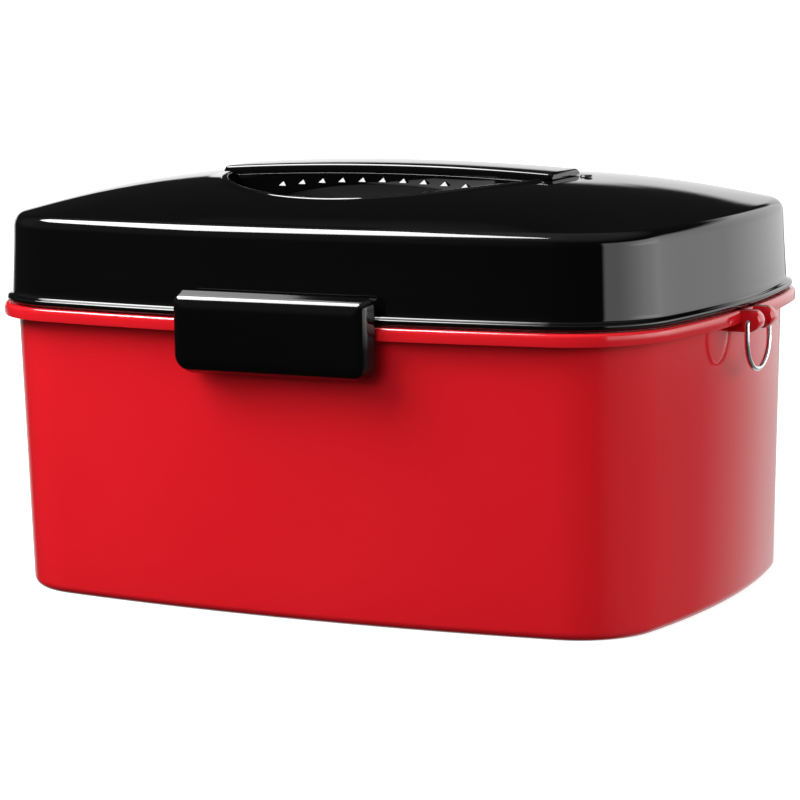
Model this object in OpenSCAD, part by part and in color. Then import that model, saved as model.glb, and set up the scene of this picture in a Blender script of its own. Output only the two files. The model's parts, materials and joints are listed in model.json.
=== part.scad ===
/* [Tub] */
// Width of the tub wall at its top, over the bowed sides
tub_w = 312; // [290:1:340]
// Depth of the tub wall at its top, over the bowed front and back
tub_d = 214; // [200:1:240]
// Height of the rim's top face above the base
rim_top = 125; // [120:1:140]
// Radius of the four upright corners at the wall's top
corner_r = 39; // [34:1:44]
// How far the front and back bow outwards
bow_front = 13.4; // [11:0.2:15]
// How far the two sides bow outwards
bow_side = 15.9; // [14:0.2:17]
// How much each wall leans in from rim to base
draft = 3; // [2:0.5:4]
// Thickness of the tub's sheet metal
tub_t = 1; // [0.8:0.1:1.4]
// How far the rim stands out from the wall
rim_out = 6.2; // [5.8:0.1:6.6]
// Height of the rim's outer face
rim_h = 5.4; // [5:0.1:6]

/* [Insulation and liners] */
// Distance from the tub wall's outside to the liner's outside at the mouth
liner_inset = 11; // [10:0.5:13]
// Thickness of the liners
liner_t = 1.8; // [1.6:0.1:2]
// Height of the liner's floor underside above the base
liner_floor = 12; // [10:0.5:15]
// How far the lid's plug hangs into the tub's mouth below the rim flange
plug_drop = 2.3; // [1:0.1:3]

/* [Lid] */
// Height of the skirt from the rim's top to the start of the shoulder
skirt_h = 33; // [30:1:36]
// Radius of the shoulder between skirt and top
shoulder_r = 6; // [5:0.5:7]
// Rise of the crowned top above its edge
crown_h = 14; // [12:0.5:16]
// Radius of the round dish under the handle
dish_r = 74.5; // [72:0.5:76]
// Thickness of the lid's shell
shell_t = 2.2; // [2:0.1:2.4]
// Depth of the dish below the level of its centre plane
dish_depth = 32; // [30:0.5:33]

/* [Handle] */
// Length of the handle
handle_l = 159; // [157:1:162]
// Width of the handle, front to back
handle_w = 29; // [26:1:30]
// Height of the handle's top in the middle
handle_top = 182; // [181.6:0.1:182.4]
// Number of grip pips along each side
pip_count = 11; // [5:2:13]
// Distance from pip to pip
pip_pitch = 9.8; // [8:0.2:10]

/* [Latch] */
// Width of the latch
latch_w = 92; // [88:1:96]
// Height of the latch's lower edge above the base
latch_bottom = 103; // [100:1:106]
// How far the latch's front stands from the middle of the box
latch_front = 121; // [120.5:0.1:121.5]

/* [Strap rings] */
// Diameter of the ring wire
wire_d = 2.2; // [2:0.1:2.4]
// Width of the ring between its legs' centre lines
ring_w = 25.8; // [25:0.2:27]
// Drop of the ring from its pivot to the centre line of its lowest point
ring_drop = 20.7; // [19:0.1:22]

/* [Hidden] */

gap = 0.2;              // free space between pieces that lie against each other
run_gap = 0.05;         // radial clearance of a pin in its bore
wide = 360;             // facets of the large arcs
round_n = 64;           // facets of pins, bosses and corners
red = [0.83, 0.09, 0.11];
black = [0.04, 0.04, 0.045];

// ---- plan outline: four long arcs joined by four corner arcs ----
half_w = tub_w / 2;
half_d = tub_d / 2;
function bow_radius(half, bow) = (half * half + bow * bow) / (2 * bow);
front_r = bow_radius(half_w, bow_front);
side_r = bow_radius(half_d, bow_side);
front_c = [0, half_d - front_r];        // centre of the back wall's arc; the front wall mirrors it
side_c = [half_w - side_r, 0];          // centre of the right wall's arc; the left wall mirrors it
// the corner arc touches both long arcs from inside
centre_gap = norm(side_c - front_c);
centre_dir = (side_c - front_c) / centre_gap;
along = (centre_gap * centre_gap + pow(front_r - corner_r, 2) - pow(side_r - corner_r, 2)) / (2 * centre_gap);
across = sqrt(pow(front_r - corner_r, 2) - along * along);
corner_c = front_c + along * centre_dir + across * [centre_dir.y, -centre_dir.x];
front_angle = atan2(corner_c.y - front_c.y, corner_c.x - front_c.x);
side_angle = atan2(corner_c.y - side_c.y, corner_c.x - side_c.x);

// Points of one quarter of the outline, moved out by off, from the +X end to the +Y end
function quarter(off, n_side, n_corner, n_front) = [
    for (i = [0 : n_side - 1]) let (t = side_angle * i / n_side)
        side_c + (side_r + off) * [cos(t), sin(t)],
    for (i = [0 : n_corner - 1]) let (t = side_angle + (front_angle - side_angle) * i / n_corner)
        corner_c + (corner_r + off) * [cos(t), sin(t)],
    for (i = [0 : n_front]) let (t = front_angle + (90 - front_angle) * i / n_front)
        front_c + (front_r + off) * [cos(t), sin(t)]];
// The whole outline without repeated points, anticlockwise from +X
function outline(off, n_side = 2, n_corner = 6, n_front = 3) =
    let (q = quarter(off, n_side, n_corner, n_front), last = len(q) - 1)
    concat(q,
           [for (i = [last - 1 : -1 : 0]) [-q[i].x, q[i].y]],
           [for (i = [1 : last]) [-q[i].x, -q[i].y]],
           [for (i = [last - 1 : -1 : 1]) [q[i].x, -q[i].y]]);
corners = len(outline(0));

// A closed solid through loops of points from the bottom up; the last loops, given as dome, meet at a peak
module loft(loops, dome = [], peak = [0, 0, 0]) {
    all_loops = concat(loops, dome);
    n = corners;
    k_flat = len(loops) - 1;
    k_last = len(all_loops) - 1;
    points = concat([for (loop = all_loops) each loop], len(dome) > 0 ? [peak] : []);
    polyhedron(points, concat(
        [[for (i = [0 : n - 1]) i]],
        [for (k = [0 : k_flat - 1], i = [0 : n - 1]) let (j = (i + 1) % n)
            [k * n + i, (k + 1) * n + i, (k + 1) * n + j, k * n + j]],
        [if (k_last > k_flat) for (k = [k_flat : k_last - 1], i = [0 : n - 1]) let (j = (i + 1) % n) each [
            [k * n + i, (k + 1) * n + j, k * n + j], [k * n + i, (k + 1) * n + i, (k + 1) * n + j]]],
        len(dome) > 0 ? [for (i = [0 : n - 1]) [k_last * n + i, (k_last + 1) * n, k_last * n + (i + 1) % n]]
                      : [[for (i = [n - 1 : -1 : 0]) k_last * n + i]]));
}

// A closed solid that follows the box's bowed outline, its wall given as [offset, z] points from the bottom up
function loops_of(profile) = [for (p = profile) [for (q = outline(p.x)) [q.x, q.y, p.y]]];
module bowed(profile) loft(loops_of(profile));

// Arc points [offset, z] about a centre, from angle a to angle b
function arc_points(c, r, a, b, n) = [for (i = [0 : n]) let (t = a + (b - a) * i / n) c + r * [cos(t), sin(t)]];

// A round rod along X or Y, centred on its middle
module rod_x(r, l) rotate([0, 90, 0]) cylinder(r = r, h = l, center = true, $fn = round_n);
module rod_y(r, l) rotate([90, 0, 0]) cylinder(r = r, h = l, center = true, $fn = round_n);

// ---- hinge, latch and ring places ----
hinge_y = 118;
hinge_z = rim_top - 3.5;
knuckle_r = 5.5;
hinge_x = 72;                           // distance of each hinge from the middle
lid_knuckle_w = 22;
tub_knuckle_w = 10.7;
knuckle_gap = 0.3;
hinge_pin_r = 2;
latch_y = -half_d - 5.4;
latch_z = rim_top + 8.8;
latch_knuckle_r = 2.6;
latch_pin_r = 1.2;
lid_ears = [-34, 0, 34];                // places of the lid's latch knuckles along X
lid_ear_w = 9;
lug_x = half_w + 9.2;
lug_z = rim_top - 4.5;
lug_r = 4.5;
lug_in = 3.5;
lug_out = 11.2;

// ---- tub ----
wall_top = rim_top - rim_h;
base_fillet = 4;
rim_edge = 1.6;
function wall_off(z) = -draft + draft * z / wall_top;
function base_corner(r) =
    arc_points([wall_off(base_fillet) - base_fillet, base_fillet], r, -90, 0, 4);
tub_outer = concat(base_corner(base_fillet), [[wall_off(wall_top), wall_top]]);

module rim_channel() {
    difference() {
        bowed(concat([[rim_out - 0.7, wall_top], [rim_out, wall_top + 0.7]],
                     arc_points([rim_out - rim_edge, rim_top - rim_edge], rim_edge, 0, 90, 4)));
        difference() {
            bowed([[rim_out - tub_t, wall_top - 1], [rim_out - tub_t, rim_top - tub_t]]);
            bowed([[wall_off(wall_top - 2), wall_top - 2], [0, wall_top], [0, rim_top]]);
        }
    }
}

module tub_solid() {
    bowed(tub_outer);
    rim_channel();
    // rear knuckles and their arms
    for (sx = [-1, 1], side = [-1, 1]) {
        x = sx * hinge_x + side * (lid_knuckle_w / 2 + knuckle_gap + tub_knuckle_w / 2);
        translate([x, hinge_y, hinge_z]) rod_x(knuckle_r, tub_knuckle_w);
        translate([x - tub_knuckle_w / 2, half_d - 9, hinge_z - knuckle_r])
            cube([tub_knuckle_w, hinge_y - half_d + 9, knuckle_r + 2.5]);
    }
    // strap ring lugs
    for (sx = [-1, 1], sy = [-1, 1])
        translate([sx * lug_x, sy * (lug_in + lug_out) / 2, lug_z]) {
            rod_y(lug_r, lug_out - lug_in);
            translate([sx * -8, 0, 0]) cube([16, lug_out - lug_in, 2 * lug_r], center = true);
        }
}

module tub_shell() color(red) difference() {
    tub_solid();
    bowed(concat(base_corner(base_fillet - tub_t), [[-tub_t, wall_top], [-tub_t, rim_top + 1]]));
    for (sx = [-1, 1])
        translate([sx * hinge_x, hinge_y, hinge_z])
            rod_x(hinge_pin_r + run_gap, lid_knuckle_w + 2 * tub_knuckle_w + 8);
    for (sx = [-1, 1])
        translate([sx * lug_x, 0, lug_z]) rod_y(wire_d / 2 + run_gap, 2 * lug_out + 2);
}

// ---- tub liner and foam ----
flange_t = 1.8;
flange_out = 1;
flange_top = rim_top + flange_t;
liner_fillet = 9;
function liner_off(z) = -liner_inset - draft * (rim_top - z) / (rim_top - liner_floor);
liner_outer = concat(
    arc_points([liner_off(liner_floor + liner_fillet) - liner_fillet, liner_floor + liner_fillet],
               liner_fillet, -90, 0, 4),
    [[-liner_inset, rim_top]]);
mouth_r = 1.6;

module tub_liner() color([0.86, 0.86, 0.84]) difference() {
    union() {
        bowed(concat(liner_outer, [[-liner_inset, rim_top + 0.5]]));
        bowed([[flange_out, rim_top], [flange_out, flange_top - 0.6], [flange_out - 0.6, flange_top]]);
        difference() {
            bowed([[-tub_t - gap, wall_top + 1], [-tub_t - gap, rim_top + 0.2]]);
            bowed([[-tub_t - gap - liner_t, wall_top], [-tub_t - gap - liner_t, rim_top + 0.1]]);
        }
    }
    bowed(concat(
        arc_points([liner_off(liner_floor + liner_fillet) - liner_fillet, liner_floor + liner_fillet],
                   liner_fillet - liner_t, -90, 0, 4),
        arc_points([-liner_inset - liner_t + mouth_r, flange_top - mouth_r], mouth_r, 180, 90, 3),
        [[-liner_inset - liner_t + mouth_r, flange_top + 1]]));
}

module tub_foam() color([0.93, 0.9, 0.78]) difference() {
    bowed(concat(base_corner(base_fillet - tub_t - gap), [[-tub_t - gap, wall_top + 0.6]]));
    bowed(concat([for (p = liner_outer) [p.x + gap, p.y - gap]], [[-liner_inset + gap, rim_top]]));
}

// ---- lid ----
skirt_off = 1.0;                        // the skirt's offset at the shoulder
lid_low = rim_top + 0.4;
skirt_top = rim_top + skirt_h;
edge_turn = 70;                         // the shoulder arc ends where the crowned top takes over
crown_edge = [skirt_off - shoulder_r + shoulder_r * cos(edge_turn), skirt_top + shoulder_r * sin(edge_turn)];
crown_a = half_w - 3;
crown_b = half_d - 4;
function crown(p) = (1 - pow(min(1, abs(p.x) / crown_a), 4)) * (1 - pow(min(1, abs(p.y) / crown_b), 3));
// Height of the crowned top above a point, for a ring drawn at share s of the edge point e
function crown_z(e, s) = crown_edge.y + crown_h * (crown(s * e) - pow(s, 4) * crown(e));
function top_z(p) = crown_edge.y + crown_h * crown(p);
flare_outer = [[3.4, lid_low], [4.5, lid_low + 0.5], [4.9, lid_low + 1.5], [4.8, lid_low + 2.8],
               [3.6, lid_low + 4.4], [2.4, lid_low + 6]];
flare_inner = [[2.6, lid_low - 1], [2.6, lid_low + 1.6], [1.4, lid_low + 3.8], [0.2, lid_low + 6.2]];
lid_outer = concat(flare_outer, arc_points([skirt_off - shoulder_r, skirt_top], shoulder_r, 0, edge_turn, 5));
lid_inner = concat(flare_inner,
                   arc_points([skirt_off - shoulder_r, skirt_top], shoulder_r - shell_t, 0, edge_turn, 3));
shares = [0.96, 0.9, 0.82, 0.72, 0.6, 0.45, 0.25];

// A bowed solid closed by the crowned top, which is drawn down by drop
module crowned(profile, drop) {
    edge = outline(profile[len(profile) - 1].x);
    loft(loops_of(profile), [for (s = shares) [for (p = edge) [s * p.x, s * p.y, crown_z(p, s) - drop]]],
         [0, 0, top_z([0, 0]) - drop]);
}

// The round dish: a half ellipsoid of revolution, thickened by t
dish_z = 180;
module dish(t) rotate_extrude($fn = 128) polygon(concat(
    [for (i = [0 : 24]) let (a = -90 + 3.75 * i) [(dish_r + t) * cos(a), dish_z + (dish_depth + t) * sin(a)]],
    [[dish_r + t, dish_z + 12], [0, dish_z + 12]]));

screw_off = -12;                        // the cover screws' line inside the outline
screw_r = 1.25;
boss_r = 3.2;
plate_low = rim_top + 5;                // underside of the lid liner's flange
plate_top = plate_low + liner_t;
front_screw_x = 55;
front_screw_y = front_c.y + sqrt(pow(front_r + screw_off, 2) - front_screw_x * front_screw_x);
screw_quarter = [[half_w + screw_off, 0], corner_c + (corner_r + screw_off) * [cos(45), sin(45)],
                 [front_screw_x, front_screw_y]];
screw_places = [for (sx = [-1, 1], p = screw_quarter)
                    each (p.y > 0 ? [[sx * p.x, p.y], [sx * p.x, -p.y]] : [[sx * p.x, 0]])];

module lid_bosses(extra) for (p = screw_places)
    translate([p.x, p.y, plate_top]) cylinder(r = boss_r + extra, h = 40, $fn = 32);

handle_screw_x = 67.5;
handle_screw_y = 8;
handle_screw_r = 1.3;
handle_boss_r = 4;
handle_boss_low = rim_top + 29;
fill_x = 84;
fill_y = 10;
fill_r = 2.75;

module at_handle_screws() for (sx = [-1, 1], sy = [-1, 1])
    translate([sx * handle_screw_x, sy * handle_screw_y, handle_boss_low]) children();

module lid_shell() color(black) difference() {
    union() {
        difference() {
            crowned(lid_outer, 0);
            difference() {
                crowned(lid_inner, shell_t);
                dish(shell_t);
                lid_bosses(0);
                at_handle_screws() cylinder(r = handle_boss_r, h = 16, $fn = 32);
            }
            dish(0);
        }
        // rear knuckles and their arms
        for (sx = [-1, 1]) {
            translate([sx * hinge_x, hinge_y, hinge_z]) rod_x(knuckle_r, lid_knuckle_w);
            translate([sx * hinge_x - lid_knuckle_w / 2, 0, 0]) rotate([90, 0, 90])
                linear_extrude(lid_knuckle_w)
                    polygon([[half_d - 2.4, rim_top + 10], [half_d - 0.6, rim_top + 3.5], [hinge_y - 6, rim_top + 3],
                             [hinge_y - 5.3, hinge_z + 1.4], [hinge_y, hinge_z], [hinge_y + 5.3, hinge_z + 1.4],
                             [hinge_y + 1, rim_top + 7], [half_d + 1, rim_top + 14]]);
        }
        // front knuckles that carry the latch
        for (x = lid_ears) {
            translate([x, latch_y, latch_z]) rod_x(latch_knuckle_r, lid_ear_w);
            translate([x - lid_ear_w / 2, latch_y, latch_z - 1.8]) cube([lid_ear_w, 4.8, 3.6]);
        }
    }
    for (sx = [-1, 1])
        translate([sx * hinge_x, hinge_y, hinge_z]) rod_x(hinge_pin_r + run_gap, lid_knuckle_w + 2);
    translate([0, latch_y, latch_z]) rod_x(latch_pin_r + run_gap, latch_w);
    for (p = screw_places)
        translate([p.x, p.y, plate_top - 1]) cylinder(r = screw_r + run_gap, h = 13, $fn = 32);
    at_handle_screws() translate([0, 0, -1]) cylinder(r = handle_screw_r + 0.3, h = 30, $fn = 32);
    translate([fill_x, fill_y, rim_top + 35]) cylinder(r = fill_r - 0.6, h = 30, $fn = 32);
}

// ---- lid liner, gasket, foam ----
plug_off = -15.5;
plate_out = -1.6;
plug_bottom = flange_top - plug_drop;
module lid_liner() color([0.86, 0.86, 0.84]) difference() {
    union() {
        bowed([[plate_out, plate_low], [plate_out, plate_top]]);
        bowed([[plug_off - 2, plug_bottom], [plug_off, plug_bottom + 2], [plug_off, plate_top - 0.1]]);
    }
    bowed([[plug_off - 2 - liner_t, plug_bottom + liner_t], [plug_off - liner_t, plug_bottom + 2 + liner_t],
           [plug_off - liner_t, plate_top + 1]]);
    for (p = screw_places) translate([p.x, p.y, plate_low - 1]) cylinder(r = screw_r + 0.35, h = 4, $fn = 32);
}

gasket_mid = -6;
module lid_gasket() color([0.16, 0.16, 0.17]) difference() {
    bowed([[gasket_mid + 1.6, flange_top + 0.3], [gasket_mid + 2.4, flange_top + 1.1],
           [gasket_mid + 2.4, plate_low]]);
    bowed([[gasket_mid - 1, flange_top], [gasket_mid - 1.6, flange_top + 0.3],
           [gasket_mid - 2.4, flange_top + 1.1], [gasket_mid - 2.4, plate_low + 1]]);
}

module lid_foam() color([0.93, 0.9, 0.78]) difference() {
    union() {
        crowned([[-1.6, plate_top + gap], [skirt_off - shell_t - 0.8, skirt_top],
                 [crown_edge.x - 3.5, crown_edge.y - shell_t - 1]], shell_t + 0.6);
        bowed([[plug_off - 2 - liner_t - gap, plug_bottom + liner_t + gap],
               [plug_off - liner_t - gap, plug_bottom + 2 + liner_t + gap], [plug_off - liner_t - gap, plate_top + 1]]);
    }
    dish(shell_t + gap);
    lid_bosses(gap);
    at_handle_screws() translate([0, 0, -3.4]) cylinder(r = handle_boss_r + gap, h = 30, $fn = 32);
    translate([fill_x, fill_y, rim_top + 43]) cylinder(r = fill_r + 1, h = 20, $fn = 32);
}

// A pan head screw that points up from its head
module screw(r, l, head_r, head_h) {
    cylinder(r1 = head_r - 0.6, r2 = head_r, h = head_h, $fn = 32);
    translate([0, 0, head_h - 0.01]) cylinder(r = r, h = l, $fn = 32);
}

module cross_slots(l, deep) translate([0, 0, -0.1]) for (a = [0, 90])
    rotate([0, 0, a]) translate([-l / 2, -0.35, 0]) cube([l, 0.7, deep]);

module lid_screws() color([0.72, 0.73, 0.75]) for (p = screw_places)
    translate([p.x, p.y, plate_low - 1.4]) difference() {
        screw(screw_r, 12, 2.8, 1.4);
        cross_slots(3.2, 0.9);
    }

// ---- handle: an arched bar across the dish ----
arch_r = 1250;
arch_turn = 2 * asin(handle_l / 2 / arch_r);
half_handle = handle_w / 2;
cap_t = 2.2;
cap_skirt = 3.6;
cap_round = 1.4;
under_r = 220;                          // arch of the bar's underside
under_top = handle_top - 9;
seat_z = rim_top + 52.1;                // the cap's ends stop just above the lid
// Sweeps a section [y, height above the arch's middle] along the handle's arch
module arched(section, turn = arch_turn) translate([0, 0, handle_top - arch_r])
    rotate([90, 0, 0]) rotate([0, 0, 90 - turn / 2])
        rotate_extrude(angle = turn, $fn = wide * 2) polygon([for (p = section) [arch_r + p.y, -p.x]]);

module handle_cap() color(black) difference() {
    arched(concat([[-half_handle, -cap_skirt]],
                  arc_points([-half_handle + cap_round, -cap_round], cap_round, 180, 90, 4),
                  arc_points([half_handle - cap_round, -cap_round], cap_round, 90, 0, 4),
                  [[half_handle, -cap_skirt]]));
    arched([[-half_handle + cap_t, -cap_skirt - 1], [-half_handle + cap_t, -cap_t],
            [half_handle - cap_t, -cap_t], [half_handle - cap_t, -cap_skirt - 1]], arch_turn * (1 - 2 * cap_t / handle_l));
    for (sx = [-1, 1]) translate([sx * (dish_r + 7.2), 0, seat_z - 10]) cube([20, 2 * handle_w, 20], center = true);
}

// One triangular grip pip standing out from the bar's front face
pip_w = 4.4;
pip_h = 2.9;
pip_out = 1.8;
pip_arch = 450;
pip_z = handle_top - 7.8;
module pip() rotate([90, 0, 0]) linear_extrude(pip_out + 0.3) polygon([[-pip_w / 2, 0], [pip_w / 2, 0], [0, pip_h]]);

// The bar's body: a block w wide whose top follows the arch line, lowered by drop
module beam(w, drop) rotate([90, 0, 0]) linear_extrude(w, center = true) polygon(concat(
    arc_points([0, handle_top - arch_r], arch_r - drop, 90 - arch_turn / 2, 90 + arch_turn / 2, 24),
    [[-handle_l / 2, handle_top - 30], [handle_l / 2, handle_top - 30]]));

module handle_core() color(black) difference() {
    union() {
        intersection() {
            union() {
                beam(handle_w, cap_skirt + gap);
                beam(handle_w - 2 * (cap_t + gap), cap_t + gap);
            }
            dish(-1.5 * gap);
        }
        for (i = [0 : pip_count - 1], side = [0, 1]) let (x = (i - (pip_count - 1) / 2) * pip_pitch)
            mirror([0, side, 0]) translate([x, -half_handle + 0.3, pip_z - x * x / (2 * pip_arch)]) pip();
    }
    translate([0, 0, under_top - under_r]) rotate([90, 0, 0])
        cylinder(r = under_r, h = 3 * handle_w, center = true, $fn = wide * 2);
    at_handle_screws() cylinder(r = handle_screw_r + run_gap, h = 21.5, $fn = 32);
}

module handle_screws() color([0.72, 0.73, 0.75]) at_handle_screws() translate([0, 0, -1.4]) difference() {
    screw(handle_screw_r, 20, 2.9, 1.4);
    cross_slots(3.4, 0.9);
}

// The plug that closes the lid's foam filling hole
module fill_plug() color([0.1, 0.1, 0.11]) translate([fill_x, fill_y, 0]) {
    z = top_z([fill_x, fill_y]);
    translate([0, 0, z - 4]) cylinder(r = fill_r - 0.6 - run_gap, h = 4.4, $fn = 32);
    translate([0, 0, z + 0.25]) cylinder(r1 = fill_r, r2 = fill_r - 0.4, h = 0.6, $fn = 32);
}

// ---- latch ----
latch_top = latch_z + 3.4;
latch_back = -half_d - rim_out - 0.4;   // just clear of the rim's face
latch_wall = 2.2;
low_corner = 8;
top_corner = 4;
// The latch's face as [x, z] points, drawn in by inset
function pad(inset) = let (w = latch_w / 2, rl = max(1, low_corner - inset), rt = max(1, top_corner - inset))
    concat(arc_points([w - inset - rl, latch_bottom + inset + rl], rl, -90, 0, 5),
           arc_points([w - inset - rt, latch_top - inset - rt], rt, 0, 90, 4),
           arc_points([-w + inset + rt, latch_top - inset - rt], rt, 90, 180, 4),
           arc_points([-w + inset + rl, latch_bottom + inset + rl], rl, 180, 270, 5));
module slab(inset, from, to) translate([0, -from, 0]) rotate([90, 0, 0]) linear_extrude(to - from) polygon(pad(inset));
face_steps = [[0, 4], [0.25, 3], [0.9, 1.8], [1.9, 0.8], [3.2, 0.25], [4.6, 0]];   // [inset, depth behind the front]

module latch_cover() color(black) difference() {
    hull() {
        slab(0, -latch_back, -latch_back + 1);
        for (p = face_steps) slab(p[0], latch_front - p[1] - 0.02, latch_front - p[1]);
    }
    slab(latch_wall, -latch_back - 5, latch_front - latch_wall);
    translate([-latch_w, latch_back - 1.2, latch_top - 3]) cube([2 * latch_w, 10, 10]);
    translate([0, latch_y, latch_z]) rod_x(latch_knuckle_r + 0.3, latch_w - 2 * latch_wall);
}

hook_w = latch_w - 2 * latch_wall - 0.4;
hook_front = latch_front - latch_wall - gap;
hook_t = 2;
ear_gap = 0.3;
ear_half = lid_ear_w / 2 + ear_gap;
arm_half = hook_w / 2 - 1;
hook_spans = [[-arm_half, lid_ears[0] - ear_half], [lid_ears[0] + ear_half, -ear_half],
              [ear_half, lid_ears[2] - ear_half], [lid_ears[2] + ear_half, arm_half]];
nose_w = 60;
module latch_hook() color([0.12, 0.12, 0.13]) difference() {
    union() {
        slab(latch_wall + gap, hook_front - hook_t, hook_front);
        for (s = hook_spans) let (w = s[1] - s[0], x = (s[0] + s[1]) / 2) {
            translate([x, latch_y, latch_z]) rod_x(latch_knuckle_r, w);
            translate([x - w / 2, -hook_front + 0.5, latch_z - 2]) cube([w, hook_front - 0.5 + latch_y, 3]);
        }
        // catch bar and the ribs that carry it
        translate([-nose_w / 2, -hook_front + 0.5, latch_bottom + 9])
            cube([nose_w, hook_front - 0.5 + latch_back, 5]);
        for (x = [-nose_w / 2 : nose_w / 4 : nose_w / 2])
            translate([x - 0.8, -hook_front + 0.5, latch_bottom + 4]) cube([1.6, 4.5, 22]);
    }
    translate([0, latch_y, latch_z]) rod_x(latch_pin_r + run_gap, latch_w);
}

module latch_pin() color([0.72, 0.73, 0.75]) translate([0, latch_y, latch_z]) rod_x(latch_pin_r, 2 * arm_half - 0.6);

// ---- hinge pins ----
pin_half = lid_knuckle_w / 2 + knuckle_gap + tub_knuckle_w + 0.3;
module hinge_pin(side) color([0.72, 0.73, 0.75]) translate([side * hinge_x, hinge_y, hinge_z]) {
    rod_x(hinge_pin_r, 2 * pin_half);
    for (end = [-1, 1]) translate([end * (pin_half + 0.6), 0, 0]) rod_x(hinge_pin_r + 1.2, 1.2);
}
module hinge_pin_left() hinge_pin(-1);
module hinge_pin_right() hinge_pin(1);

// ---- strap rings: bent wire, ends turned in through the lugs ----
bend_r = 1.6;
module wire_arc(r, turn) rotate_extrude(angle = turn, $fn = round_n) translate([r, 0]) circle(r = wire_d / 2, $fn = 32);
module strap_ring(side) color([0.75, 0.76, 0.78]) translate([side * lug_x, 0, lug_z]) {
    r = ring_w / 2;
    for (my = [0, 1]) mirror([0, my, 0]) {
        translate([0, lug_in + 0.8, 0]) rotate([-90, 0, 0]) cylinder(r = wire_d / 2, h = r - bend_r - lug_in - 0.8, $fn = 32);
        translate([0, r - bend_r, -bend_r]) rotate([90, 0, 90]) wire_arc(bend_r, 90);
        translate([0, r, r - ring_drop]) cylinder(r = wire_d / 2, h = ring_drop - r - bend_r, $fn = 32);
    }
    translate([0, 0, r - ring_drop]) rotate([90, 0, 90]) rotate([0, 0, 180]) wire_arc(r, 180);
}
module ring_left() strap_ring(-1);
module ring_right() strap_ring(1);

tub_shell();
tub_foam();
tub_liner();
lid_shell();
lid_foam();
lid_liner();
lid_gasket();
lid_screws();
handle_core();
handle_cap();
handle_screws();
fill_plug();
latch_cover();
latch_hook();
latch_pin();
hinge_pin_left();
hinge_pin_right();
ring_left();
ring_right();
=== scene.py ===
"""Looks of the red and black lunch box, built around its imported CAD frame."""

import json
import math

import bmesh
import bpy
from mathutils import Matrix, Vector

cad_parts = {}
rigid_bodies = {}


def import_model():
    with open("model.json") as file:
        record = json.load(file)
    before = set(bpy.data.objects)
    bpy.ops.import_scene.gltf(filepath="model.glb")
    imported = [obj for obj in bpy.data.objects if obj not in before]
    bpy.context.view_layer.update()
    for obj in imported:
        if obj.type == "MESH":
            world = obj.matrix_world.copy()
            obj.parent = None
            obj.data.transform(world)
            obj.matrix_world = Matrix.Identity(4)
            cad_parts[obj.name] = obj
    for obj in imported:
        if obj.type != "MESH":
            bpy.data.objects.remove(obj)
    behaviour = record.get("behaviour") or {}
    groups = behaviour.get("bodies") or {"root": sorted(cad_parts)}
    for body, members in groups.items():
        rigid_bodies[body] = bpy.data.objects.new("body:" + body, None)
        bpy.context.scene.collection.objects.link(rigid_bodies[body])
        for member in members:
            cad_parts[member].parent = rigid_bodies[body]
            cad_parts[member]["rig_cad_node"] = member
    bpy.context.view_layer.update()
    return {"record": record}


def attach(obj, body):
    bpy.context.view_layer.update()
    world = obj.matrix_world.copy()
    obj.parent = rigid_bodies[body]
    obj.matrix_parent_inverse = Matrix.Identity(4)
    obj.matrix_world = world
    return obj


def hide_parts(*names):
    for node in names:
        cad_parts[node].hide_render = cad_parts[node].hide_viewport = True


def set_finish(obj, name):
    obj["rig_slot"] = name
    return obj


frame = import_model()
MM = 0.001

# ---- driving dimensions in millimetres: the CAD's, but for the grip pips, which are a little smaller ----
HALF_W, HALF_D = 156, 107
CORNER_R, BOW_FRONT, BOW_SIDE = 39, 13.4, 15.9
RIM_TOP, RIM_H, RIM_OUT, RIM_EDGE = 125, 5.4, 6.2, 1.6
DRAFT, BASE_FILLET, TUB_T = 3, 4, 1
LINER_INSET, LINER_T, LINER_FLOOR, LINER_FILLET, MOUTH_R = 11, 1.8, 12, 9, 1.6
FLANGE_OUT, FLANGE_TOP, PLUG_DROP = 1, RIM_TOP + 1.8, 2.3
LID_LOW, SKIRT_TOP, SKIRT_OFF = RIM_TOP + 0.4, RIM_TOP + 33, 1
SHOULDER_R, SHOULDER_TURN, SHELL_T = 6, 70, 2.2
CROWN_H, CROWN_A, CROWN_B = 14, HALF_W - 3, HALF_D - 4
DISH_R, DISH_DEPTH, DISH_Z = 74.5, 32, 180
HANDLE_L, HALF_HANDLE, HANDLE_TOP, ARCH_R = 159, 14.5, 182, 1250
CAP_T, CAP_SKIRT, CAP_ROUND, SEAT_Z = 2.2, 3.6, 1.4, RIM_TOP + 52.1
UNDER_R, UNDER_TOP = 220, HANDLE_TOP - 9
PIP_COUNT, PIP_PITCH, PIP_W, PIP_H, PIP_OUT, PIP_ARCH = 11, 9.8, 3.8, 1.9, 1.6, 450
PIP_Z = HANDLE_TOP - 7.8
HINGE_X, HINGE_Y, HINGE_Z, KNUCKLE_R = 72, 118, RIM_TOP - 3.5, 5.5
LID_KNUCKLE_W, TUB_KNUCKLE_W, KNUCKLE_GAP = 22, 10.7, 0.3
LATCH_W, LATCH_BOTTOM, LATCH_FRONT, LATCH_WALL = 92, 103, 121, 2.2
LOW_CORNER, TOP_CORNER = 8, 4
LATCH_Y, LATCH_Z, LATCH_KNUCKLE_R = -HALF_D - 5.4, RIM_TOP + 8.8, 2.6
LATCH_TOP, LATCH_BACK = LATCH_Z + 3.4, -HALF_D - RIM_OUT - 0.4
LUG_X, LUG_Z, LUG_R, LUG_IN, LUG_OUT = HALF_W + 9.2, RIM_TOP - 4.5, 4.5, 3.5, 11.2
WIRE_R, RING_HALF, RING_DROP, WIRE_BEND = 1.1, 12.9, 20.7, 1.6
GAP = 0.2                                   # free space between pieces that lie against each other


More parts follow.
